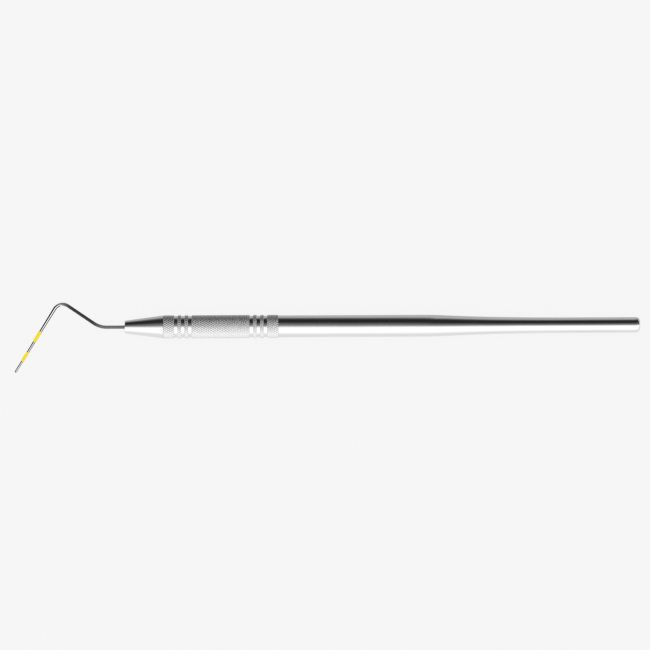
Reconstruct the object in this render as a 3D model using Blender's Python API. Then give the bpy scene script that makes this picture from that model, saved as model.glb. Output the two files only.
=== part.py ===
"""Colour-coded periodontal probe: a single-ended stainless steel hand instrument.

Frame: metres, +Z up. The handle's axis is the X axis. The centre of its flat tail face is the
origin, and the working end points to -X. The working wire is bent in the XY plane, so the probe
lies on its side, as it does on an instrument tray.

The handle is a hollow one: a bored nose cone, a knurled grip tube and a tapered shaft tube, held
together by press-fitted spigots. The bent wire is held in the nose by a ferrule on its tang.
"""
import math

import bmesh
import bpy

MM = 0.001

# Handle, measured from the nose face towards the tail.
HANDLE_LENGTH = 128.75 * MM
NOSE_LENGTH = 9.62 * MM
NOSE_TIP_RADIUS = 1.62 * MM
NOSE_BASE_RADIUS = 2.88 * MM
NOSE_EDGE = 0.25 * MM

# Grip: knurled bands and rings with plain grooves between them.
KNURL_RADIUS = 2.90 * MM
GROOVE_RADIUS = 2.70 * MM
FRONT_BAND = 2.70 * MM
MAIN_BAND = 14.46 * MM
REAR_BAND = 2.80 * MM
GROOVE_WIDTH = 0.88 * MM
RING_WIDTH = 0.88 * MM
GROOVES_PER_GROUP = 3
BAND_CHAMFER = 0.08 * MM

# Shaft: a plain barrel, then a hollow-sided taper down to a slim tail.
SHAFT_RADIUS = 2.75 * MM
TAIL_RADIUS = 1.94 * MM
TAPER_START = 77.8 * MM
TAPER_LENGTH = 41.2 * MM
TAPER_STEPS = 12
TAIL_EDGE = 0.95 * MM
TAIL_CAP_LENGTH = 1.25 * MM

# Inside of the handle.
TUBE_BORE_RADIUS = 2.00 * MM
SHAFT_WALL = 0.75 * MM
NOSE_SPIGOT_LENGTH = 8.0 * MM
CORE_LENGTH = 16.0 * MM
TAIL_SPIGOT_LENGTH = 6.0 * MM
FERRULE_BORE_RADIUS = 1.00 * MM
NOSE_LIP = 1.2 * MM
FERRULE_LENGTH = 8.0 * MM
LEAD_IN = 0.30 * MM

# Working wire, measured between the points where its straight sections would meet.
WIRE_RADIUS = 0.41 * MM
TIP_RADIUS = 0.265 * MM
TANG_LENGTH = 10.0 * MM
SECTION_A = 6.28 * MM
SECTION_B = 12.00 * MM
SECTION_C = 21.20 * MM
RISE_ANGLE = math.radians(34.2)
FALL_ANGLE = math.radians(58.0)
FIRST_BEND_RADIUS = 5.8 * MM
SECOND_BEND_RADIUS = 2.4 * MM
BEND_STEP = math.radians(8.0)
TIP_EDGE = 0.10 * MM
TAPER_POWER = 1.5
TAPER_STEP = 1.7 * MM

# Yellow marks on the wire: their lower and upper edges, as distances from the tip.
LOWER_MARK = (3.35 * MM, 6.0 * MM)
UPPER_MARK = (9.0 * MM, 12.0 * MM)
MARK_RECESS = 0.05 * MM
MARK_PROUD = 0.12 * MM
MARK_GAP = 0.02 * MM

# Clearance left between neighbouring solids, and how round the facets are.
FIT_GAP = 0.05 * MM
HANDLE_SEGMENTS = 32
WIRE_SEGMENTS = 20
ARC_STEPS = 5

GRIP_LENGTH = (FRONT_BAND + MAIN_BAND + REAR_BAND + 2 * GROOVES_PER_GROUP * GROOVE_WIDTH
               + 2 * (GROOVES_PER_GROUP - 1) * RING_WIDTH)
GRIP_END = NOSE_LENGTH + GRIP_LENGTH
SPIGOT_RADIUS = TUBE_BORE_RADIUS - FIT_GAP
WIRE_HOLE_RADIUS = WIRE_RADIUS + FIT_GAP


def clear_scene():
    """Remove whatever the scene already holds."""
    for thing in list(bpy.data.objects):
        bpy.data.objects.remove(thing, do_unlink=True)


# ---------------------------------------------------------------- materials

def principled(name, colour, metallic, roughness):
    """A Principled BSDF material with one colour."""
    material = bpy.data.materials.new(name)
    material.use_nodes = True
    shader = material.node_tree.nodes["Principled BSDF"]
    shader.inputs["Base Color"].default_value = (*colour, 1.0)
    shader.inputs["Metallic"].default_value = metallic
    shader.inputs["Roughness"].default_value = roughness
    material.diffuse_color = (*colour, 1.0)
    return material


def polished_steel():
    """Mirror-polished stainless steel of the nose, shaft and tail."""
    return principled("polished_steel", (0.78, 0.78, 0.79), 1.0, 0.08)


def knurled_steel():
    """Knurled stainless steel of the grip, duller than the shaft."""
    return principled("knurled_steel", (0.68, 0.68, 0.69), 1.0, 0.32)


def wire_steel():
    """Hardened and satin-ground stainless wire of the working end."""
    return principled("wire_steel", (0.50, 0.50, 0.51), 1.0, 0.25)


def plain_steel():
    """Unpolished turned steel of the hidden pieces."""
    return principled("plain_steel", (0.55, 0.55, 0.56), 1.0, 0.40)


def yellow_enamel():
    """Baked yellow enamel of the two marks."""
    return principled("yellow_enamel", (0.88, 0.74, 0.04), 0.0, 0.30)


# ---------------------------------------------------------------- building tools

def add_object(name, mesh_data, material, place_x=0.0):
    """Put a finished bmesh into the scene as one smooth-shaded object."""
    mesh = bpy.data.meshes.new(name)
    mesh_data.to_mesh(mesh)
    mesh_data.free()
    mesh.shade_smooth()
    mesh.set_sharp_from_angle(angle=math.radians(30.0))
    mesh.materials.append(material)
    piece = bpy.data.objects.new(name, mesh)
    piece.location.x = place_x
    bpy.context.collection.objects.link(piece)
    return piece


def turned_piece(name, profile, material, place_x, segments=HANDLE_SEGMENTS):
    """Spin an outline of (distance along X, radius) points about the X axis.

    An outline that starts and ends on the axis makes a solid piece. Any other outline is
    closed into a loop and makes a tube.
    """
    shape = bmesh.new()
    points = [shape.verts.new((along, 0.0, radius)) for along, radius in profile]
    edges = [shape.edges.new(pair) for pair in zip(points, points[1:])]
    if profile[0][1] > 0.0:
        edges.append(shape.edges.new((points[-1], points[0])))
    bmesh.ops.spin(shape, geom=points + edges, cent=(0, 0, 0), axis=(1, 0, 0),
                   angle=2 * math.pi, steps=segments, use_duplicate=False)
    bmesh.ops.remove_doubles(shape, verts=shape.verts, dist=0.0005 * MM)
    bmesh.ops.recalc_face_normals(shape, faces=shape.faces)
    return add_object(name, shape, material, place_x)


def rounded_corner(centre, radius, start, end, steps=ARC_STEPS):
    """Points of an arc in an outline, from one angle to another, both in degrees."""
    points = []
    for step in range(steps + 1):
        angle = math.radians(start + (end - start) * step / steps)
        points.append((centre[0] + radius * math.cos(angle), centre[1] + radius * math.sin(angle)))
    return points


# ---------------------------------------------------------------- handle

def from_nose(distance):
    """World X of a point given by its distance behind the nose face."""
    return distance - HANDLE_LENGTH


def make_nose_cone(material):
    """Bored nose cone with the spigot that the grip tube is pressed onto."""
    end = NOSE_LENGTH + NOSE_SPIGOT_LENGTH
    front_edge = rounded_corner((NOSE_EDGE, NOSE_TIP_RADIUS - NOSE_EDGE), NOSE_EDGE, 180, 97, 3)
    profile = [
        (0.0, WIRE_HOLE_RADIUS),
        *front_edge,
        (NOSE_LENGTH, NOSE_BASE_RADIUS),
        (NOSE_LENGTH, SPIGOT_RADIUS),
        (end - LEAD_IN, SPIGOT_RADIUS),
        (end, SPIGOT_RADIUS - LEAD_IN),
        (end, FERRULE_BORE_RADIUS),
        (NOSE_LIP, FERRULE_BORE_RADIUS),
        (NOSE_LIP, WIRE_HOLE_RADIUS),
    ]
    return turned_piece("nose_cone", profile, material, from_nose(0.0))


def grip_widths():
    """Widths along the grip, knurled and grooved in turn, starting with a knurled one."""
    group = [GROOVE_WIDTH, RING_WIDTH] * (GROOVES_PER_GROUP - 1) + [GROOVE_WIDTH]
    return [FRONT_BAND, *group, MAIN_BAND, *group, REAR_BAND]


def make_grip_tube(material):
    """Grip tube with knurled bands standing proud of its grooves."""
    profile = [(FIT_GAP, TUBE_BORE_RADIUS)]
    along = 0.0
    for index, width in enumerate(grip_widths()):
        knurled = index % 2 == 0
        if knurled:
            low = max(along, FIT_GAP)
            high = along + width
            profile.append((low, GROOVE_RADIUS))
            profile.append((low, KNURL_RADIUS - BAND_CHAMFER))
            profile.append((low + BAND_CHAMFER, KNURL_RADIUS))
            profile.append((high - BAND_CHAMFER, KNURL_RADIUS))
            profile.append((high, KNURL_RADIUS - BAND_CHAMFER))
            profile.append((high, GROOVE_RADIUS))
        along += width
    profile.append((along, TUBE_BORE_RADIUS))
    return turned_piece("grip_tube", profile, material, from_nose(NOSE_LENGTH))


def shaft_radius(distance):
    """Outer radius of the shaft at a distance behind the nose face."""
    travel = min(max((distance - TAPER_START) / TAPER_LENGTH, 0.0), 1.0)
    return TAIL_RADIUS + (SHAFT_RADIUS - TAIL_RADIUS) * (1.0 - travel) ** 3


def make_shaft_tube(material):
    """Plain barrel and swaged taper, with a bore that follows the taper."""
    start = GRIP_END + FIT_GAP
    end = HANDLE_LENGTH - TAIL_CAP_LENGTH - FIT_GAP
    stations = [TAPER_START + TAPER_LENGTH * step / TAPER_STEPS for step in range(TAPER_STEPS + 1)]
    outside = [start, *stations, end]
    profile = [(at, shaft_radius(at)) for at in outside]
    profile += [(at, shaft_radius(at) - SHAFT_WALL) for at in reversed(outside)]
    return turned_piece("shaft_tube", profile, material, from_nose(0.0))


def make_joining_core(material):
    """Press-fitted core that joins the grip tube to the shaft tube."""
    half = CORE_LENGTH / 2
    profile = [
        (-half, 0.0),
        (-half, SPIGOT_RADIUS - LEAD_IN),
        (LEAD_IN - half, SPIGOT_RADIUS),
        (half - LEAD_IN, SPIGOT_RADIUS),
        (half, SPIGOT_RADIUS - LEAD_IN),
        (half, 0.0),
    ]
    return turned_piece("joining_core", profile, material, from_nose(GRIP_END))


def make_tail_plug(material):
    """Tail cap with a flat end, a rounded edge and a spigot inside the shaft tube."""
    spigot = TAIL_RADIUS - SHAFT_WALL - FIT_GAP
    end_edge = rounded_corner((-TAIL_EDGE, TAIL_RADIUS - TAIL_EDGE), TAIL_EDGE, 90, 0)
    profile = [
        (-TAIL_CAP_LENGTH - TAIL_SPIGOT_LENGTH, 0.0),
        (-TAIL_CAP_LENGTH - TAIL_SPIGOT_LENGTH, spigot - LEAD_IN),
        (-TAIL_CAP_LENGTH - TAIL_SPIGOT_LENGTH + LEAD_IN, spigot),
        (-TAIL_CAP_LENGTH, spigot),
        (-TAIL_CAP_LENGTH, TAIL_RADIUS),
        *end_edge,
        (0.0, 0.0),
    ]
    return turned_piece("tail_plug", profile, material, from_nose(HANDLE_LENGTH))


def make_tang_ferrule(material):
    """Ferrule crimped on the wire's tang, seated behind the lip of the nose."""
    outer = FERRULE_BORE_RADIUS - FIT_GAP
    start = NOSE_LIP + FIT_GAP
    end = start + FERRULE_LENGTH
    profile = [
        (start, WIRE_HOLE_RADIUS),
        (start, outer),
        (end - LEAD_IN, outer),
        (end, outer - LEAD_IN / 2),
        (end, WIRE_HOLE_RADIUS),
    ]
    return turned_piece("tang_ferrule", profile, material, from_nose(0.0), WIRE_SEGMENTS)


# ---------------------------------------------------------------- working wire

class WirePath:
    """Walks along the wire in the XY plane and notes each station's place and heading."""

    def __init__(self, x, heading):
        self.x = x
        self.y = 0.0
        self.heading = heading
        self.stations = []

    def note(self, radius):
        self.stations.append((self.x, self.y, self.heading, radius))

    def straight(self, length):
        self.x += length * math.cos(self.heading)
        self.y += length * math.sin(self.heading)

    def bend(self, bend_radius, turn, wire_radius):
        """Turn along an arc; a positive turn is to the left."""
        steps = math.ceil(abs(turn) / BEND_STEP)
        chord = 2 * bend_radius * math.sin(abs(turn) / steps / 2)
        self.note(wire_radius)
        for _ in range(steps):
            self.heading += turn / steps / 2
            self.straight(chord)
            self.heading += turn / steps / 2
            self.note(wire_radius)


def bend_allowance(bend_radius, turn):
    """Length that a bend takes off each of the two sections that it joins."""
    return bend_radius * math.tan(abs(turn) / 2)


def measuring_length():
    """Length of the straight tapered end, from the second bend to the tip."""
    return SECTION_C - bend_allowance(SECOND_BEND_RADIUS, RISE_ANGLE + FALL_ANGLE)


def measuring_radius(from_tip):
    """Radius of the ground taper at a distance from the tip; it widens faster towards the bend."""
    share = from_tip / measuring_length()
    return TIP_RADIUS + (WIRE_RADIUS - TIP_RADIUS) * share ** TAPER_POWER


def measuring_stations():
    """(distance from the tip, radius) down the tapered end, with a recess under each mark."""
    stations = []
    bare = measuring_length() - UPPER_MARK[1]
    steps = math.ceil(bare / TAPER_STEP)
    for step in range(1, steps):
        from_tip = measuring_length() - bare * step / steps
        stations.append((from_tip, measuring_radius(from_tip)))
    for lower, upper in (UPPER_MARK, LOWER_MARK):
        stations.append((upper, measuring_radius(upper)))
        stations.append((upper, measuring_radius(upper) - MARK_RECESS))
        stations.append((lower, measuring_radius(lower) - MARK_RECESS))
        stations.append((lower, measuring_radius(lower)))
    stations.append((TIP_EDGE, measuring_radius(TIP_EDGE)))
    stations.append((TIP_EDGE / 3, measuring_radius(0.0) - TIP_EDGE / 3))
    stations.append((0.0, measuring_radius(0.0) - TIP_EDGE))
    return stations


def wire_path():
    """Centreline of the whole wire, from the end of its tang to its tip."""
    first_turn = -RISE_ANGLE
    second_turn = RISE_ANGLE + FALL_ANGLE
    first_cut = bend_allowance(FIRST_BEND_RADIUS, first_turn)
    second_cut = bend_allowance(SECOND_BEND_RADIUS, second_turn)
    path = WirePath(from_nose(TANG_LENGTH), math.pi)
    path.note(WIRE_RADIUS)
    path.straight(TANG_LENGTH + SECTION_A - first_cut)
    path.bend(FIRST_BEND_RADIUS, first_turn, WIRE_RADIUS)
    path.straight(SECTION_B - first_cut - second_cut)
    path.bend(SECOND_BEND_RADIUS, second_turn, WIRE_RADIUS)
    from_tip = measuring_length()
    for station, radius in measuring_stations():
        path.straight(from_tip - station)
        path.note(radius)
        from_tip = station
    return path


def swept_ring(shape, station):
    """One ring of vertices round the wire, square to its heading."""
    x, y, heading, radius = station
    side_x = -math.sin(heading)
    side_y = math.cos(heading)
    ring = []
    for index in range(WIRE_SEGMENTS):
        angle = 2 * math.pi * index / WIRE_SEGMENTS
        side = radius * math.cos(angle)
        ring.append(shape.verts.new((x + side * side_x, y + side * side_y, radius * math.sin(angle))))
    return ring


def make_probe_wire(material):
    """Bent wire with its hidden tang, its two bends and its tapered measuring end."""
    shape = bmesh.new()
    rings = [swept_ring(shape, station) for station in wire_path().stations]
    for near, far in zip(rings, rings[1:]):
        for index in range(WIRE_SEGMENTS):
            after = (index + 1) % WIRE_SEGMENTS
            shape.faces.new((near[index], near[after], far[after], far[index]))
    shape.faces.new(rings[0])
    shape.faces.new(rings[-1])
    bmesh.ops.recalc_face_normals(shape, faces=shape.faces)
    return add_object("probe_wire", shape, material)


def make_mark(name, mark, material):
    """Enamel ring that fills a recess of the wire and stands slightly proud of it."""
    lower = mark[0] + MARK_GAP
    upper = mark[1] - MARK_GAP
    inset = MARK_RECESS - MARK_GAP
    edge = MARK_PROUD / 2
    profile = [
        (lower, measuring_radius(lower) - inset),
        (lower, measuring_radius(lower) + edge),
        (lower + edge, measuring_radius(lower) + MARK_PROUD),
        (upper - edge, measuring_radius(upper) + MARK_PROUD),
        (upper, measuring_radius(upper) + edge),
        (upper, measuring_radius(upper) - inset),
    ]
    ring = turned_piece(name, profile, material, 0.0, WIRE_SEGMENTS)
    tip_x, tip_y, heading, _ = wire_path().stations[-1]
    ring.location = (tip_x, tip_y, 0.0)
    ring.rotation_euler.z = heading + math.pi
    return ring


def build_probe():
    """Make every piece of the probe."""
    clear_scene()
    polished = polished_steel()
    hidden = plain_steel()
    enamel = yellow_enamel()
    make_nose_cone(polished)
    make_grip_tube(knurled_steel())
    make_shaft_tube(polished)
    make_joining_core(hidden)
    make_tail_plug(polished)
    make_tang_ferrule(hidden)
    make_probe_wire(wire_steel())
    make_mark("lower_yellow_mark", LOWER_MARK, enamel)
    make_mark("upper_yellow_mark", UPPER_MARK, enamel)


build_probe()
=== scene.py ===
"""Looks of the colour-coded periodontal probe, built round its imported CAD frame.

The frame gives where each piece starts and ends and how thick it is. This script turns, knurls,
bends and paints the finished pieces in its place: fine meshes, node materials and a plain studio.
Lengths are in metres. The handle's axis is the X axis, and the working end points to -X.
"""

import math

import bmesh
import bpy
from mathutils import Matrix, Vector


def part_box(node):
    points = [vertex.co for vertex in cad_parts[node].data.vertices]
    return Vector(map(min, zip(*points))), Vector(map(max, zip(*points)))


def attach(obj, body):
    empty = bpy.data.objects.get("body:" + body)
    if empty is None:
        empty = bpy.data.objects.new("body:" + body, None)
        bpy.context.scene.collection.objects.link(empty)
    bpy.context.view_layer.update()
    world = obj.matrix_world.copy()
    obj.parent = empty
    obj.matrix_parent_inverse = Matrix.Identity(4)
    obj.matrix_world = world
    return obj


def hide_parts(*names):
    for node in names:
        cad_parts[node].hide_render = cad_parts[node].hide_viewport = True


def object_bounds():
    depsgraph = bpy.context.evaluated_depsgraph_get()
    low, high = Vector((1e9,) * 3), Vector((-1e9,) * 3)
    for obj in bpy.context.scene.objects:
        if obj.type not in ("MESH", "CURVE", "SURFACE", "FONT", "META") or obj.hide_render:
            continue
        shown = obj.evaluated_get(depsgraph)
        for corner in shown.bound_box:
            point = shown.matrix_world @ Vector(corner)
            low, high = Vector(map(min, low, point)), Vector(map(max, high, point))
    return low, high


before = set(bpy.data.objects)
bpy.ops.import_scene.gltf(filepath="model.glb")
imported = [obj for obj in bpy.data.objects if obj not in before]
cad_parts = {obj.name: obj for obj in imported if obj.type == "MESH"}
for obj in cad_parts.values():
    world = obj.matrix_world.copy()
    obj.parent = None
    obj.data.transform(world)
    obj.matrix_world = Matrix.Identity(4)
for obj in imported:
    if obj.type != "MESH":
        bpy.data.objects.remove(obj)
cad_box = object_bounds()

MM = 0.001
BODY = "root"

# ---------------------------------------------------------------- places taken from the frame

NOSE_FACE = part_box("nose_cone")[0].x
GRIP_START, GRIP_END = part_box("grip_tube")[0].x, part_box("grip_tube")[1].x
TAIL_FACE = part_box("tail_plug")[1].x
KNURL_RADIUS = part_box("grip_tube")[1].z
SHAFT_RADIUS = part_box("shaft_tube")[1].z
TAIL_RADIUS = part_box("tail_plug")[1].z
WIRE_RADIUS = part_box("probe_wire")[1].z

# ---------------------------------------------------------------- driving dimensions

# Handle.
NOSE_TIP_RADIUS = 1.62 * MM
NOSE_BASE_RADIUS = 2.88 * MM
NOSE_EDGE = 0.25 * MM
WIRE_HOLE_RADIUS = WIRE_RADIUS + 0.03 * MM
WIRE_HOLE_DEPTH = 1.2 * MM
WIRE_HOLE_LIP = 0.06 * MM
BORE_RADIUS = 2.0 * MM
SEAM = 0.015 * MM
POLISHED_SEAM = 0.002 * MM
TAPER_START = 77.8 * MM
TAPER_LENGTH = 41.2 * MM
TAPER_BLEND = 0.04          # softness of the start of the taper, as a share of its length
TAIL_EDGE = 0.95 * MM
TAIL_CAP_LENGTH = 1.25 * MM

# Grip: knurled bands with plain grooves between them, and the diamonds of the knurl.
GROOVE_RADIUS = 2.70 * MM
GROOVE_WIDTH = 0.88 * MM
GROOVE_INSET = 0.03 * MM
RING_WIDTH = 0.88 * MM
FRONT_BAND = 2.70 * MM
MAIN_BAND = 14.46 * MM
KNURL_PITCH = 0.89 * MM
KNURL_STARTS = 32
KNURL_DEPTH = 0.06 * MM
KNURL_CHAMFER = 0.07 * MM
# Each step of a diamond: (share of its half width, share of its height), from its foot to its flat.
DIAMOND_STEPS = ((0.85, 0.50), (0.55, 0.85), (0.25, 1.00))

# Working wire, measured between the points where its straight sections would meet.
TIP_RADIUS = 0.265 * MM
TANG_SHOWN = 1.0 * MM
SECTION_A = 6.28 * MM
SECTION_B = 12.00 * MM
SECTION_C = 21.20 * MM
RISE_ANGLE = math.radians(34.2)
FALL_ANGLE = math.radians(58.0)
FIRST_BEND_RADIUS = 5.8 * MM
SECOND_BEND_RADIUS = 2.4 * MM
TAPER_POWER = 1.5
MARKS = {"lower_yellow_mark": (3.35 * MM, 6.0 * MM), "upper_yellow_mark": (9.0 * MM, 12.0 * MM)}
MARK_RECESS = 0.05 * MM
MARK_CLEARANCE = 0.002 * MM
MARK_PROUD = 0.12 * MM

# Finish and painted shade of the wire, as distances along X from the bend or the tip that each one
# is named after.
# The bright grinding leans by GROUND_LEAN: it starts that much earlier on the inside of the second
# bend, and that much later on its outside.
SECOND_BEND_GROUND = (-0.45 * MM, 0.45 * MM)
SECOND_BEND_RIM = (-0.1 * MM, 0.3 * MM)
SECOND_BEND_DARK = (1.0 * MM, 2.6 * MM)
FIRST_BEND_DARK = (-1.6 * MM, 0.4 * MM)
TIP_RIM_FADE = (1.6 * MM, 2.0 * MM)
GROUND_LEAN = 1.0 * MM
# The painted shade on the rims of the bright section: the cosines between which it sets in, the
# lean that makes the outer rim the wider one, and the share of it that is left near the tip, where
# it fades.
RIM_COSINES = (0.995, 0.93)
RIM_LEAN = 0.16
RIM_AT_TIP = 0.88

# Fineness of the meshes.
TURNED_SEGMENTS = 192
WIRE_SEGMENTS = 48
WIRE_STEP = 0.5 * MM
TAPER_STEPS = 96
BLEND_STEPS = 16
ARC_STEPS = 8
BEND_STEP = math.radians(2.5)
SHARP_ANGLE = math.radians(28)
CUT_TOLERANCE = 1e-9
ON_PLANE = 1e-8             # distance within which a point counts as lying on a plane


# ---------------------------------------------------------------- meshes

def finish_piece(name, shape, material, replaced):
    """Make a bmesh a smooth-shaded piece that rides on the body and stands for its CAD node."""
    bmesh.ops.remove_doubles(shape, verts=shape.verts, dist=0.0001 * MM)
    bmesh.ops.recalc_face_normals(shape, faces=shape.faces)
    mesh = bpy.data.meshes.new(name)
    shape.to_mesh(mesh)
    shape.free()
    mesh.shade_smooth()
    mesh.set_sharp_from_angle(angle=SHARP_ANGLE)
    mesh.materials.append(material)
    piece = bpy.data.objects.new(name, mesh)
    bpy.context.scene.collection.objects.link(piece)
    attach(piece, BODY)
    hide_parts(replaced)
    return piece


def turned_shape(profile, segments=TURNED_SEGMENTS):
    """Spin an outline of (x, radius) points about the X axis; a loop if it leaves the axis open."""
    shape = bmesh.new()
    points = [shape.verts.new((x, 0.0, radius)) for x, radius in profile]
    edges = [shape.edges.new(pair) for pair in zip(points, points[1:])]
    if profile[0][1] > 0.0:
        edges.append(shape.edges.new((points[-1], points[0])))
    bmesh.ops.spin(shape, geom=points + edges, cent=(0, 0, 0), axis=(1, 0, 0),
                   angle=2 * math.pi, steps=segments, use_duplicate=False)
    return shape


def arc(centre_x, centre_radius, radius, start, end, steps=ARC_STEPS):
    """Points of an arc in an outline, from one angle to another, both in degrees."""
    points = []
    for step in range(steps + 1):
        angle = math.radians(start + (end - start) * step / steps)
        points.append((centre_x + radius * math.cos(angle),
                       centre_radius + radius * math.sin(angle)))
    return points


def make_nose_cone(material):
    """Turned cone with a rounded front edge and a countersunk hole for the wire."""
    base = GRIP_START - SEAM
    lip = WIRE_HOLE_LIP
    profile = [
        (NOSE_FACE + WIRE_HOLE_DEPTH, WIRE_HOLE_RADIUS),
        (NOSE_FACE + lip, WIRE_HOLE_RADIUS),
        (NOSE_FACE, WIRE_HOLE_RADIUS + lip),
        *arc(NOSE_FACE + NOSE_EDGE, NOSE_TIP_RADIUS - NOSE_EDGE, NOSE_EDGE, 180, 97),
        (base - SEAM, NOSE_BASE_RADIUS),
        (base, NOSE_BASE_RADIUS - SEAM),
        (base, BORE_RADIUS),
        (NOSE_FACE + WIRE_HOLE_DEPTH, BORE_RADIUS / 2),
    ]
    return finish_piece("nose_cone_turned", turned_shape(profile), material,
                        "nose_cone")


def shaft_radius(x):
    """Outer radius of the shaft at a place along the handle: a barrel, then a hollow taper."""
    share = (x - NOSE_FACE - TAPER_START) / TAPER_LENGTH
    travel = min((share + math.hypot(share, TAPER_BLEND)) / 2, 1.0)
    return TAIL_RADIUS + (SHAFT_RADIUS - TAIL_RADIUS) * (1.0 - travel) ** 3


def make_shaft(material):
    """Polished barrel and swaged taper, as a tube with a rim at each end."""
    start = GRIP_END + SEAM
    end = TAIL_FACE - TAIL_CAP_LENGTH - POLISHED_SEAM
    wall = SHAFT_RADIUS - BORE_RADIUS
    taper = [NOSE_FACE + TAPER_START + TAPER_LENGTH * step / TAPER_STEPS
             for step in range(-BLEND_STEPS, TAPER_STEPS + 1)]
    profile = [(start, SHAFT_RADIUS - SEAM), (start + SEAM, SHAFT_RADIUS)]
    profile += [(x, shaft_radius(x)) for x in taper]
    profile += [(end - POLISHED_SEAM, TAIL_RADIUS), (end, TAIL_RADIUS - POLISHED_SEAM)]
    profile += [(x, shaft_radius(x) - wall) for x in (end, *reversed(taper), start)]
    return finish_piece("shaft_turned", turned_shape(profile), material,
                        "shaft_tube")


def make_tail_cap(material):
    """Polished tail cap with its flat face and rounded edge."""
    start = TAIL_FACE - TAIL_CAP_LENGTH
    profile = [
        (start, 0.0),
        (start, TAIL_RADIUS - POLISHED_SEAM),
        (start + POLISHED_SEAM, TAIL_RADIUS),
        *arc(TAIL_FACE - TAIL_EDGE, TAIL_RADIUS - TAIL_EDGE, TAIL_EDGE, 90, 0),
        (TAIL_FACE, 0.0),
    ]
    return finish_piece("tail_cap_turned", turned_shape(profile), material,
                        "tail_plug")


# ---------------------------------------------------------------- knurled grip

def ring_of(shape, x, radius, count=TURNED_SEGMENTS):
    """Even ring of vertices round the axis."""
    ring = []
    for index in range(count):
        angle = 2 * math.pi * index / count
        ring.append(shape.verts.new((x, radius * math.cos(angle), radius * math.sin(angle))))
    return ring


def angle_of(vert):
    """Angle of a vertex round the handle's axis, from 0 to a full turn."""
    return math.atan2(vert.co.z, vert.co.y) % (2 * math.pi)


def zip_rings(shape, first, second):
    """Close the strip between two rings of any vertex counts with triangles."""
    first = sorted(first, key=angle_of)
    second = sorted(second, key=angle_of)
    turn = 2 * math.pi
    i = j = 0
    while i < len(first) or j < len(second):
        here = first[i % len(first)]
        there = second[j % len(second)]
        next_here = angle_of(first[(i + 1) % len(first)]) + turn * ((i + 1) // len(first))
        next_there = angle_of(second[(j + 1) % len(second)]) + turn * ((j + 1) // len(second))
        step_first = j >= len(second) or (i < len(first) and next_here <= next_there)
        if step_first:
            shape.faces.new((here, there, first[(i + 1) % len(first)]))
            i += 1
        else:
            shape.faces.new((here, there, second[(j + 1) % len(second)]))
            j += 1


class Knurl:
    """Small rounded diamonds between crossing helical grooves.

    A lattice point has an index along the axis and one round it. Points with an even sum are
    where grooves cross, and points with an odd sum are the middles of diamonds.
    """

    def __init__(self, shape):
        self.shape = shape
        self.crossings = {}

    def point(self, along, around, radius):
        """New vertex at a place of the lattice."""
        x = GRIP_START + along * KNURL_PITCH / 2
        angle = around * math.pi / KNURL_STARTS
        return self.shape.verts.new((x, radius * math.cos(angle), radius * math.sin(angle)))

    def crossing(self, along, around):
        """The vertex where grooves cross, shared by the diamonds round it."""
        key = (along, around % (2 * KNURL_STARTS))
        if key not in self.crossings:
            self.crossings[key] = self.point(*key, KNURL_RADIUS - KNURL_DEPTH)
        return self.crossings[key]

    def diamond(self, along, around):
        """One diamond, in steps from the crossings round it up to its flat."""
        corners = ((-1, 0), (0, 1), (1, 0), (0, -1))
        below = [self.crossing(along + a, around + b) for a, b in corners]
        for share, height in DIAMOND_STEPS:
            radius = KNURL_RADIUS - KNURL_DEPTH * (1.0 - height)
            above = [self.point(along + a * share, around + b * share, radius) for a, b in corners]
            for side in range(4):
                after = (side + 1) % 4
                self.shape.faces.new((below[side], below[after], above[after], above[side]))
            below = above
        self.shape.faces.new(below)

    def cover(self, start, end):
        """Diamonds from a little before start to a little past end."""
        low = math.floor((start - GRIP_START) / KNURL_PITCH * 2) - 1
        high = math.ceil((end - GRIP_START) / KNURL_PITCH * 2) + 1
        for along in range(low, high + 1):
            for around in range(2 * KNURL_STARTS):
                if (along + around) % 2:
                    self.diamond(along, around)


def knurled_band(shape, start, end):
    """Add one knurled band to the grip; returns its two end rings at the groove radius."""
    band = bmesh.new()
    Knurl(band).cover(start, end)
    planes = ((start + KNURL_CHAMFER, -1), (end - KNURL_CHAMFER, 1))
    for x, side in planes:
        everything = band.verts[:] + band.edges[:] + band.faces[:]
        bmesh.ops.bisect_plane(band, geom=everything, dist=CUT_TOLERANCE, plane_co=(x, 0, 0),
                               plane_no=(side, 0, 0), clear_outer=True)
    for (x, side), end_x in zip(planes, (start, end)):
        rim = [e for e in band.edges if e.is_boundary and abs(e.verts[0].co.x - x) < ON_PLANE]
        # The rim drops by the chamfer, and then from there to the groove radius.
        for drop in (KNURL_CHAMFER, KNURL_RADIUS):
            grown = bmesh.ops.extrude_edge_only(band, edges=rim)["geom"]
            rim = [e for e in grown if isinstance(e, bmesh.types.BMEdge) and e.is_boundary]
            for vert in {v for e in rim for v in e.verts}:
                radius = math.hypot(vert.co.y, vert.co.z)
                lower = max(radius - drop, GROOVE_RADIUS)
                vert.co = (end_x, vert.co.y * lower / radius, vert.co.z * lower / radius)
    made = bpy.data.meshes.new("band")
    band.to_mesh(made)
    band.free()
    count = len(shape.verts)
    shape.from_mesh(made)
    bpy.data.meshes.remove(made)
    shape.verts.ensure_lookup_table()
    new = shape.verts[count:]
    open_verts = [v for v in new if any(e.is_boundary for e in v.link_edges)]
    return ([v for v in open_verts if abs(v.co.x - start) < ON_PLANE],
            [v for v in open_verts if abs(v.co.x - end) < ON_PLANE])


def band_limits():
    """Start and end of each knurled band along the grip."""
    group = [GROOVE_WIDTH, RING_WIDTH, GROOVE_WIDTH, RING_WIDTH, GROOVE_WIDTH]
    widths = [FRONT_BAND, *group, MAIN_BAND, *group]
    limits = []
    x = GRIP_START
    for index, width in enumerate(widths):
        if index % 2 == 0:
            limits.append((x, x + width))
        x += width
    limits.append((x, GRIP_END))
    return limits


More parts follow.
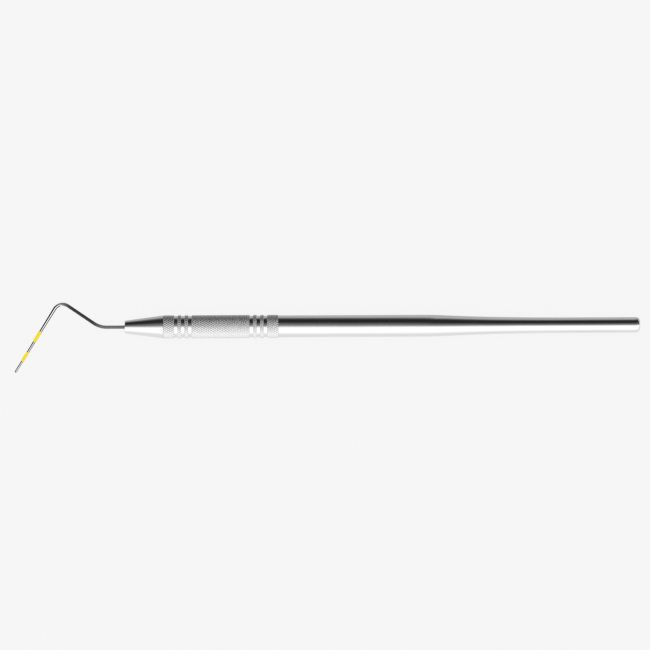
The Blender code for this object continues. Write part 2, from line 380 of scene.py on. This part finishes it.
def make_grip(material):
    """Grip tube: knurled bands and rings, plain polished grooves and an open bore."""
    shape = bmesh.new()
    waiting = None
    for start, end in band_limits():
        left, right = knurled_band(shape, start, end)
        if waiting is None:
            first = left
        else:
            near = ring_of(shape, waiting[0].co.x + GROOVE_INSET, GROOVE_RADIUS)
            far = ring_of(shape, start - GROOVE_INSET, GROOVE_RADIUS)
            zip_rings(shape, waiting, near)
            zip_rings(shape, near, far)
            zip_rings(shape, far, left)
        waiting = right
    bore_start = ring_of(shape, GRIP_START, BORE_RADIUS)
    bore_end = ring_of(shape, GRIP_END, BORE_RADIUS)
    zip_rings(shape, first, bore_start)
    zip_rings(shape, waiting, bore_end)
    zip_rings(shape, bore_start, bore_end)
    return finish_piece("grip_knurled", shape, material, "grip_tube")


# ---------------------------------------------------------------- working wire

class WirePath:
    """Walks along the wire in the XY plane and notes each station's place, heading and radius."""

    def __init__(self, x, heading):
        self.x = x
        self.y = 0.0
        self.heading = heading
        self.centre = None          # of the last bend
        self.stations = []

    def note(self, radius):
        """Put a station here."""
        self.stations.append((self.x, self.y, self.heading, radius))

    def straight(self, length):
        """Walk straight on."""
        self.x += length * math.cos(self.heading)
        self.y += length * math.sin(self.heading)

    def bend(self, bend_radius, turn):
        """Turn along an arc; a positive turn is to the left."""
        steps = math.ceil(abs(turn) / BEND_STEP)
        reach = math.copysign(bend_radius, turn)
        self.centre = (self.x - reach * math.sin(self.heading),
                       self.y + reach * math.cos(self.heading))
        chord = 2 * bend_radius * math.sin(abs(turn) / steps / 2)
        self.note(WIRE_RADIUS)
        for _ in range(steps):
            self.heading += turn / steps / 2
            self.straight(chord)
            self.heading += turn / steps / 2
            self.note(WIRE_RADIUS)


def bend_allowance(bend_radius, turn):
    """Length that a bend takes off each of the two sections that it joins."""
    return bend_radius * math.tan(abs(turn) / 2)


FIRST_CUT = bend_allowance(FIRST_BEND_RADIUS, RISE_ANGLE)
SECOND_CUT = bend_allowance(SECOND_BEND_RADIUS, RISE_ANGLE + FALL_ANGLE)
MEASURING_LENGTH = SECTION_C - SECOND_CUT


def measuring_radius(from_tip):
    """Radius of the ground taper at a distance from the tip."""
    share = from_tip / MEASURING_LENGTH
    return TIP_RADIUS + (WIRE_RADIUS - TIP_RADIUS) * share ** TAPER_POWER


def measuring_stations():
    """(distance from the tip, radius) down the tapered end, with a recess under each mark."""
    stations = []
    edges = sorted((edge for mark in MARKS.values() for edge in mark), reverse=True)
    limits = [MEASURING_LENGTH - WIRE_STEP, *edges, TIP_RADIUS]
    for index, (upper, lower) in enumerate(zip(limits, limits[1:])):
        depth = MARK_RECESS if index % 2 else 0.0
        steps = math.ceil((upper - lower) / WIRE_STEP)
        for step in range(steps + 1):
            from_tip = upper + (lower - upper) * step / steps
            stations.append((from_tip, measuring_radius(from_tip) - depth))
    end_radius = measuring_radius(TIP_RADIUS)
    for step in range(1, ARC_STEPS):
        angle = math.radians(90 * step / ARC_STEPS)
        stations.append((TIP_RADIUS * (1 - math.sin(angle)), end_radius * math.cos(angle)))
    return stations


def wire_path():
    """Centreline of the wire, from just inside the nose to its tip."""
    path = WirePath(NOSE_FACE + TANG_SHOWN, math.pi)
    path.note(WIRE_RADIUS)
    path.straight(TANG_SHOWN + SECTION_A - FIRST_CUT)
    path.bend(FIRST_BEND_RADIUS, -RISE_ANGLE)
    path.straight(SECTION_B - FIRST_CUT - SECOND_CUT)
    path.bend(SECOND_BEND_RADIUS, RISE_ANGLE + FALL_ANGLE)
    from_tip = MEASURING_LENGTH
    for station, radius in measuring_stations():
        path.straight(from_tip - station)
        path.note(radius)
        from_tip = station
    path.straight(from_tip)
    return path


def tip_place():
    """Place of the tip and the heading of the measuring end towards it."""
    path = wire_path()
    return path.x, path.y, path.heading


def wire_ring(shape, station):
    """One ring of vertices round the wire, square to its heading."""
    x, y, heading, radius = station
    ring = []
    for index in range(WIRE_SEGMENTS):
        angle = 2 * math.pi * index / WIRE_SEGMENTS
        side = radius * math.cos(angle)
        ring.append(shape.verts.new((x - side * math.sin(heading), y + side * math.cos(heading),
                                     radius * math.sin(angle))))
    return ring


def make_wire(material):
    """Bent wire with a rounded tip, swept along its path."""
    shape = bmesh.new()
    path = wire_path()
    rings = [wire_ring(shape, station) for station in path.stations]
    for near, far in zip(rings, rings[1:]):
        for index in range(WIRE_SEGMENTS):
            after = (index + 1) % WIRE_SEGMENTS
            shape.faces.new((near[index], near[after], far[after], far[index]))
    shape.faces.new(rings[0])
    point = shape.verts.new((path.x, path.y, 0.0))
    for index in range(WIRE_SEGMENTS):
        shape.faces.new((rings[-1][index], rings[-1][(index + 1) % WIRE_SEGMENTS], point))
    return finish_piece("probe_wire_ground", shape, material, "probe_wire")


def make_mark(node, material):
    """Enamel band with soft edges, lying in its recess round the measuring end."""
    lower, upper = MARKS[node]
    proud = MARK_PROUD
    inner = MARK_RECESS - MARK_CLEARANCE
    profile = [(lower, measuring_radius(lower) - inner)]
    profile += [(x, measuring_radius(lower) + r)
                for x, r in arc(lower + proud, 0.0, proud, 180, 90, 4)]
    profile += [(x, measuring_radius(upper) + r)
                for x, r in arc(upper - proud, 0.0, proud, 90, 0, 4)]
    profile += [(upper, measuring_radius(upper) - inner)]
    shape = turned_shape(profile, WIRE_SEGMENTS)
    tip_x, tip_y, heading = tip_place()
    back = heading + math.pi
    for vert in shape.verts:
        along, side, height = vert.co
        vert.co = (tip_x + along * math.cos(back) - side * math.sin(back),
                   tip_y + along * math.sin(back) + side * math.cos(back), height)
    return finish_piece(node + "_enamel", shape, material, node)


# ---------------------------------------------------------------- materials

class NodeMaterial:
    """A node material with a Principled BSDF, and short ways to add and join nodes."""

    def __init__(self, name):
        self.material = bpy.data.materials.new(name)
        self.material.use_nodes = True
        self.tree = self.material.node_tree
        self.shader = self.tree.nodes["Principled BSDF"]
        self.place = self.add("ShaderNodeTexCoord").outputs["Object"]

    def add(self, kind, inputs=None, **settings):
        node = self.tree.nodes.new(kind)
        for key, value in settings.items():
            setattr(node, key, value)
        for key, value in (inputs or {}).items():
            self.feed(node.inputs[key], value)
        return node

    def feed(self, socket, value):
        """Join a socket to an input, or set the input's value."""
        if isinstance(value, bpy.types.NodeSocket):
            self.tree.links.new(value, socket)
        else:
            socket.default_value = value

    def set(self, **values):
        """Feed the Principled BSDF, with underscores for the spaces in its inputs' names."""
        for key, value in values.items():
            self.feed(self.shader.inputs[key.replace("_", " ")], value)

    def math(self, operation, first, second=0.0, third=0.0):
        inputs = {0: first, 1: second, 2: third}
        return self.add("ShaderNodeMath", inputs, operation=operation).outputs[0]

    def hypotenuse(self, first, second):
        """Length of the hypotenuse over two sides."""
        return self.math("SQRT", self.math("ADD", self.math("MULTIPLY", first, first),
                                           self.math("MULTIPLY", second, second)))

    def vector_math(self, operation, first, second=(0.0, 0.0, 0.0)):
        return self.add("ShaderNodeVectorMath", {0: first, 1: second}, operation=operation)

    def stretched(self, scale):
        """The place on the piece, scaled by axis, in features per metre."""
        return self.vector_math("MULTIPLY", self.place, scale).outputs[0]

    def noise(self, vector, scale=1.0, detail=3.0, roughness=0.5):
        node = self.add("ShaderNodeTexNoise", {"Vector": vector, "Scale": scale, "Detail": detail,
                                               "Roughness": roughness})
        return node.outputs["Fac"]

    def spread(self, value, low, high, start=0.3, end=0.7):
        """Map start..end evenly onto low..high, and hold the ends. The defaults suit noise."""
        node = self.add("ShaderNodeMapRange", {"Value": value, "From Min": start, "From Max": end,
                                               "To Min": low, "To Max": high})
        return node.outputs["Result"]

    def blend(self, factor, first, second):
        """Mix two colours or two grey levels."""
        node = self.add("ShaderNodeMix", data_type="RGBA")
        sockets = [s for s in node.inputs if s.type == "RGBA"]
        self.feed(node.inputs["Factor"], factor)
        for socket, value in zip(sockets, (first, second)):
            self.feed(socket, value)
        return next(s for s in node.outputs if s.type == "RGBA")

    def greys(self, factor, levels):
        """A neutral colour between two levels."""
        return self.blend(factor, grey(levels[0]), grey(levels[1]))

    def rims(self, heading, lean, start, end):
        """1 along both rims of a rod that lies in the XY plane, from whatever side it is seen.

        start and end are cosines of the angle round the rod, away from the middle of its visible
        side, between which the rims begin. A lean makes the rim on the right of the heading wider,
        and the other one narrower.
        """
        axis = (math.cos(heading), math.sin(heading), 0.0)
        left = (-lean * math.sin(heading), lean * math.cos(heading), 0.0)
        geometry = self.add("ShaderNodeNewGeometry").outputs
        viewer = geometry["Incoming"]
        along = self.vector_math("PROJECT", viewer, axis).outputs[0]
        square = self.vector_math("SUBTRACT", viewer, along).outputs[0]
        leaning = self.vector_math("ADD", square, left).outputs[0]
        middle = self.vector_math("NORMALIZE", leaning).outputs[0]
        cosine = self.vector_math("DOT_PRODUCT", middle, geometry["Normal"]).outputs["Value"]
        return self.spread(cosine, 0.0, 1.0, start, end)

    def bump(self, height, distance, strength=1.0):
        node = self.add("ShaderNodeBump", {"Height": height, "Distance": distance,
                                           "Strength": strength})
        return node.outputs["Normal"]


def grey(level):
    """An opaque neutral colour."""
    return (level, level, level, 1.0)


def polished_steel():
    """Mirror-polished stainless steel: faint turning lines round the axis and soft wipe marks."""
    steel = NodeMaterial("polished_steel")
    lines = steel.noise(steel.stretched((9000.0, 40.0, 40.0)), detail=4.0)
    smears = steel.noise(steel.stretched((90.0, 260.0, 260.0)), detail=4.0, roughness=0.6)
    steel.set(
        Base_Color=steel.greys(steel.spread(smears, 0.0, 1.0), (0.760, 0.795)),
        Metallic=1.0,
        Roughness=steel.math("ADD", steel.spread(lines, 0.0, 0.02),
                             steel.spread(smears, 0.06, 0.10)),
        Normal=steel.bump(lines, 0.0004 * MM, 0.25),
    )
    return steel.material


def knurled_steel():
    """Stainless steel of the grip: bright on the crests of the knurl, duller in its grooves, with
    painted shade there.
    """
    steel = NodeMaterial("knurled_steel")
    axes = steel.add("ShaderNodeSeparateXYZ", {0: steel.place}).outputs
    radius = steel.hypotenuse(axes[1], axes[2])
    height = steel.spread(radius, 0.0, 1.0, KNURL_RADIUS - KNURL_DEPTH, KNURL_RADIUS)
    grain = steel.noise(steel.stretched((4000.0, 4000.0, 4000.0)), detail=3.0)
    cut = steel.spread(radius, 0.0, 1.0, GROOVE_RADIUS + 0.01 * MM, GROOVE_RADIUS + 0.03 * MM)
    rough = steel.math("ADD", steel.spread(grain, 0.0, 0.05),
                       steel.spread(height, 0.27, 0.13, 0.0, 1.0))
    steel.set(
        # Painted shade: the base colour darkens from the crests of the knurl down into its valleys.
        Base_Color=steel.blend(cut, grey(0.78), steel.greys(height, (0.72, 0.80))),
        Metallic=1.0,
        Roughness=steel.math("MULTIPLY_ADD", cut, rough, 0.07),
        Normal=steel.bump(grain, 0.002 * MM, 0.25),
    )
    return steel.material


def wire_steel():
    """Wire: dull dark satin up to the second bend, with painted shade that makes it darkest between
    the bends, then ground bright.

    The bright section has painted shade along its rims, which leaves out the inside of the second
    bend and fades near the tip.
    """
    steel = NodeMaterial("wire_steel")
    x, y, _ = steel.add("ShaderNodeSeparateXYZ", {0: steel.place}).outputs
    first_bend = NOSE_FACE - SECTION_A
    second_bend = first_bend - SECTION_B * math.cos(RISE_ANGLE)
    tip_x, _, tip_heading = tip_place()

    def along(low, high, place, limits):
        """Change evenly from low to high between two limits beside a place on the X axis."""
        return steel.spread(x, low, high, place + limits[0], place + limits[1])

    centre_x, centre_y = wire_path().centre
    from_centre = steel.hypotenuse(steel.math("SUBTRACT", x, centre_x),
                                   steel.math("SUBTRACT", y, centre_y))
    outward = steel.spread(from_centre, -GROUND_LEAN, GROUND_LEAN,
                           SECOND_BEND_RADIUS - WIRE_RADIUS, SECOND_BEND_RADIUS + WIRE_RADIUS)
    ground = steel.spread(steel.math("ADD", x, outward), 1.0, 0.0,
                          *(second_bend + limit for limit in SECOND_BEND_GROUND))
    # Painted shade: 1 between the two bends, where the wire is made darkest.
    middle = steel.math("MULTIPLY", along(0.0, 1.0, second_bend, SECOND_BEND_DARK),
                        along(1.0, 0.0, first_bend, FIRST_BEND_DARK))

    # Painted shade along the rims of the bright section, left out inside the second bend and faded
    # at the tip.
    past_bend = along(1.0, 0.0, second_bend, SECOND_BEND_RIM)
    outer = steel.spread(outward, 0.0, 1.0, -GROUND_LEAN / 4, GROUND_LEAN / 4)
    shown = steel.math("MULTIPLY", steel.math("MAXIMUM", past_bend, outer),
                       along(RIM_AT_TIP, 1.0, tip_x, TIP_RIM_FADE))
    rim = steel.math("MULTIPLY", steel.math("MULTIPLY", ground, shown),
                     steel.rims(tip_heading, RIM_LEAN, *RIM_COSINES))

    grain = steel.noise(steel.stretched((2500.0, 2500.0, 9000.0)), detail=4.0)
    satin = steel.greys(grain, (0.13, 0.19))
    # Painted shade: the darker grey of the section between the bends.
    dark = steel.greys(grain, (0.025, 0.045))
    # The bright steel takes the painted rim shade in its colour, and below in its specular tint.
    bright = steel.blend(rim, steel.greys(grain, (0.90, 0.96)), grey(0.01))
    steel.set(
        Base_Color=steel.blend(ground, steel.blend(middle, satin, dark), bright),
        Metallic=steel.spread(ground, 0.15, 1.0, 0.0, 1.0),
        Specular_IOR_Level=0.2,
        Specular_Tint=steel.greys(rim, (1.0, 0.05)),
        Roughness=steel.math("SUBTRACT", steel.spread(grain, 0.40, 0.50),
                             steel.math("MULTIPLY", ground, 0.36)),
        Normal=steel.bump(grain, 0.002 * MM, 0.3),
    )
    return steel.material


def plain_steel():
    """As-turned steel of the hidden core and ferrule."""
    steel = NodeMaterial("plain_steel")
    lines = steel.noise(steel.stretched((6000.0, 60.0, 60.0)), detail=4.0)
    steel.set(
        Base_Color=steel.greys(lines, (0.45, 0.58)),
        Metallic=1.0,
        Roughness=steel.spread(lines, 0.32, 0.48),
        Normal=steel.bump(lines, 0.004 * MM, 0.5),
    )
    return steel.material


def yellow_enamel():
    """Baked satin enamel, slightly uneven in colour and thickness."""
    enamel = NodeMaterial("yellow_enamel")
    cloud = enamel.noise(enamel.stretched((1400.0, 1400.0, 1400.0)), detail=3.0)
    enamel.set(
        Base_Color=enamel.blend(cloud, (0.90, 0.73, 0.010, 1.0), (0.95, 0.80, 0.022, 1.0)),
        Roughness=enamel.spread(cloud, 0.30, 0.40),
        Specular_IOR_Level=0.10,
        Normal=enamel.bump(cloud, 0.004 * MM, 0.4),
    )
    return enamel.material


# ---------------------------------------------------------------- studio

# What the steel reflects, by the angle round the handle's axis from straight up, in degrees,
# positive towards +Y. Each pair is an angle and a brightness, which changes evenly in between.
SURROUNDINGS = (
    (-180, 0.90), (-102, 0.92),                 # white table
    (-62, 1.35), (-18, 1.35), (0, 0.55),        # softbox over the -Y side, and its soft edge
    (8, 0.27), (20, 0.19),                      # grey ceiling between the softbox and the flag
    (40, 0.035), (60, 0.02), (76, 0.035), (90, 0.14),   # black flag over the +Y side
    (106, 0.46), (126, 0.56), (160, 0.50), (180, 0.90),     # the table again, shaded by the flag
)
BRIGHTEST = max(level for _, level in SURROUNDINGS)
BACKDROP = 0.9216           # brightness of the backdrop and of the floor
FLOOR_SHADE = 0.05          # share of the floor's brightness that shadows can take away
SKY_SHARE = 0.80            # share of the light on dull surfaces that has no direction
FLOOR_HALF_WIDTH = 4.0
KEY_SOFTNESS = math.radians(70)

# The softbox and the flag hang a little askew along the handle. Each skew is a turn in degrees, the
# angles between which it sets in, and the leans between which it sets in and fades again. The lean
# is the share of a direction that is along +X.
EVERY_ANGLE = (-181, -180)
NO_FADE = (-2.0, -3.0)
SKEWS = (
    (9, (-12, 22), (0.0, 0.050), (0.20, 0.30)),
    (8, (62, 88), (0.037, 0.075), (0.085, 0.115)),
    (-8, EVERY_ANGLE, (0.0, -0.045), NO_FADE),
    (2.5, (-25, -10), (-0.090, -0.170), NO_FADE),
)

# The camera: what it looks at, how wide it sees there, and how far it is turned about its axis.
VIEW_CENTRE = (TAIL_FACE - 78.70 * MM, 0.3 * MM)
VIEW_WIDTH = 162.5 * MM
VIEW_TURN = math.radians(-0.265)
LENS = 200.0
SENSOR_WIDTH = 36.0


def even_step(tree, value, start, end, interpolation="LINEAR"):
    """Even rise from 0 to 1 as the value goes from start to end."""
    node = tree.nodes.new("ShaderNodeMapRange")
    node.interpolation_type = interpolation
    tree.links.new(value, node.inputs["Value"])
    node.inputs["From Min"].default_value = start
    node.inputs["From Max"].default_value = end
    return node.outputs["Result"]


def smooth_step(tree, value, start, end):
    """Soft rise from 0 to 1 as the value goes from start to end."""
    return even_step(tree, value, start, end, "SMOOTHSTEP")


def math_node(tree, operation, *values):
    """Maths on sockets and numbers."""
    node = tree.nodes.new("ShaderNodeMath")
    node.operation = operation
    for socket, value in zip(node.inputs, values):
        if isinstance(value, bpy.types.NodeSocket):
            tree.links.new(value, socket)
        else:
            socket.default_value = value
    return node.outputs[0]


def skewed(tree, angle, direction):
    """Angle at which the surroundings are looked up, turned by the skews."""
    degrees = math_node(tree, "MULTIPLY", angle, 180 / math.pi)
    lean = direction.outputs["X"]
    result = angle
    for turn, angle_rise, lean_rise, lean_fall in SKEWS:
        around = smooth_step(tree, degrees, *angle_rise)
        along = even_step(tree, lean, *lean_rise)
        kept = math_node(tree, "SUBTRACT", 1.0, even_step(tree, lean, *lean_fall))
        share = math_node(tree, "MULTIPLY", around, math_node(tree, "MULTIPLY", along, kept))
        result = math_node(tree, "MULTIPLY_ADD", share, math.radians(turn), result)
    return result


def make_surroundings():
    """World: a plain pale backdrop for the camera, and the SURROUNDINGS for the steel."""
    world = bpy.data.worlds.new("studio")
    world.use_nodes = True
    world.cycles.sampling_method = "NONE"
    bpy.context.scene.world = world
    tree = world.node_tree
    tree.nodes.clear()
    link = tree.links.new
    direction = tree.nodes.new("ShaderNodeSeparateXYZ")
    link(tree.nodes.new("ShaderNodeTexCoord").outputs["Generated"], direction.inputs[0])
    angle = math_node(tree, "ARCTAN2", direction.outputs["Y"], direction.outputs["Z"])
    turn = math_node(tree, "MULTIPLY_ADD", skewed(tree, angle, direction), 1 / (2 * math.pi), 0.5)
    ramp = tree.nodes.new("ShaderNodeValToRGB")
    link(turn, ramp.inputs["Fac"])
    stops = ramp.color_ramp.elements
    stops.remove(stops[0])
    for index, (degrees, level) in enumerate(SURROUNDINGS):
        place = degrees / 360 + 0.5
        stop = stops[0] if index == 0 else stops.new(place)
        stop.position = place
        stop.color = grey(level / BRIGHTEST)
    reflected = tree.nodes.new("ShaderNodeBackground")
    reflected.inputs["Strength"].default_value = BRIGHTEST
    link(ramp.outputs["Color"], reflected.inputs["Color"])
    path = tree.nodes.new("ShaderNodeLightPath")
    shown = reflected
    for ray, level in (("Is Diffuse Ray", SKY_SHARE), ("Is Camera Ray", BACKDROP)):
        plain = tree.nodes.new("ShaderNodeBackground")
        plain.inputs["Color"].default_value = grey(level)
        mix = tree.nodes.new("ShaderNodeMixShader")
        link(path.outputs[ray], mix.inputs["Fac"])
        link(shown.outputs[0], mix.inputs[1])
        link(plain.outputs[0], mix.inputs[2])
        shown = mix
    output = tree.nodes.new("ShaderNodeOutputWorld")
    link(shown.outputs[0], output.inputs["Surface"])


def make_key_light():
    """Very soft light from above, which lights the enamel and the floor."""
    lamp = bpy.data.lights.new("soft_key", "SUN")
    lamp.energy = (1.0 - SKY_SHARE) * math.pi
    lamp.angle = KEY_SOFTNESS
    light = bpy.data.objects.new("soft_key", lamp)
    light.visible_glossy = False
    bpy.context.scene.collection.objects.link(light)


def make_floor():
    """Plain pale floor under the probe, mostly self-lit so that its shadows stay faint."""
    mesh = bpy.data.meshes.new("floor")
    corners = [(x * FLOOR_HALF_WIDTH, y * FLOOR_HALF_WIDTH, cad_box[0].z)
               for x, y in ((-1, -1), (1, -1), (1, 1), (-1, 1))]
    mesh.from_pydata(corners, [], [(0, 1, 2, 3)])
    floor = bpy.data.objects.new("floor", mesh)
    bpy.context.scene.collection.objects.link(floor)
    material = bpy.data.materials.new("pale_floor")
    material.use_nodes = True
    tree = material.node_tree
    tree.nodes.clear()
    glow = tree.nodes.new("ShaderNodeEmission")
    glow.inputs["Color"].default_value = grey(BACKDROP)
    matt = tree.nodes.new("ShaderNodeBsdfDiffuse")
    matt.inputs["Color"].default_value = grey(BACKDROP)
    mix = tree.nodes.new("ShaderNodeMixShader")
    mix.inputs["Fac"].default_value = FLOOR_SHADE
    tree.links.new(glow.outputs[0], mix.inputs[1])
    tree.links.new(matt.outputs[0], mix.inputs[2])
    output = tree.nodes.new("ShaderNodeOutputMaterial")
    tree.links.new(mix.outputs[0], output.inputs["Surface"])
    mesh.materials.append(material)
    floor.visible_glossy = False
    floor.visible_diffuse = False


def make_camera():
    """Long lens straight above the probe, with the working end on the left."""
    data = bpy.data.cameras.new("camera")
    data.lens = LENS
    data.sensor_width = SENSOR_WIDTH
    data.clip_start = 0.01
    data.clip_end = 20.0
    camera = bpy.data.objects.new("camera", data)
    camera.location = (*VIEW_CENTRE, VIEW_WIDTH * data.lens / data.sensor_width)
    camera.rotation_euler.z = VIEW_TURN
    bpy.context.scene.collection.objects.link(camera)
    bpy.context.scene.camera = camera
    bpy.context.scene.view_settings.view_transform = "Standard"


def keep_fine_texture():
    """Leave the denoiser off, because it smears the knurl; the soft studio has hardly any noise."""
    bpy.context.scene.cycles.use_denoising = False


# ---------------------------------------------------------------- the finished probe

polished = polished_steel()
hidden = plain_steel()
enamel = yellow_enamel()
make_nose_cone(polished)
make_grip(knurled_steel())
make_shaft(polished)
make_tail_cap(polished)
make_wire(wire_steel())
for mark_node in MARKS:
    make_mark(mark_node, enamel)
for inner_node in ("joining_core", "tang_ferrule"):
    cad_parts[inner_node].material_slots[0].material = hidden

make_surroundings()
make_key_light()
make_floor()
make_camera()
keep_fine_texture()
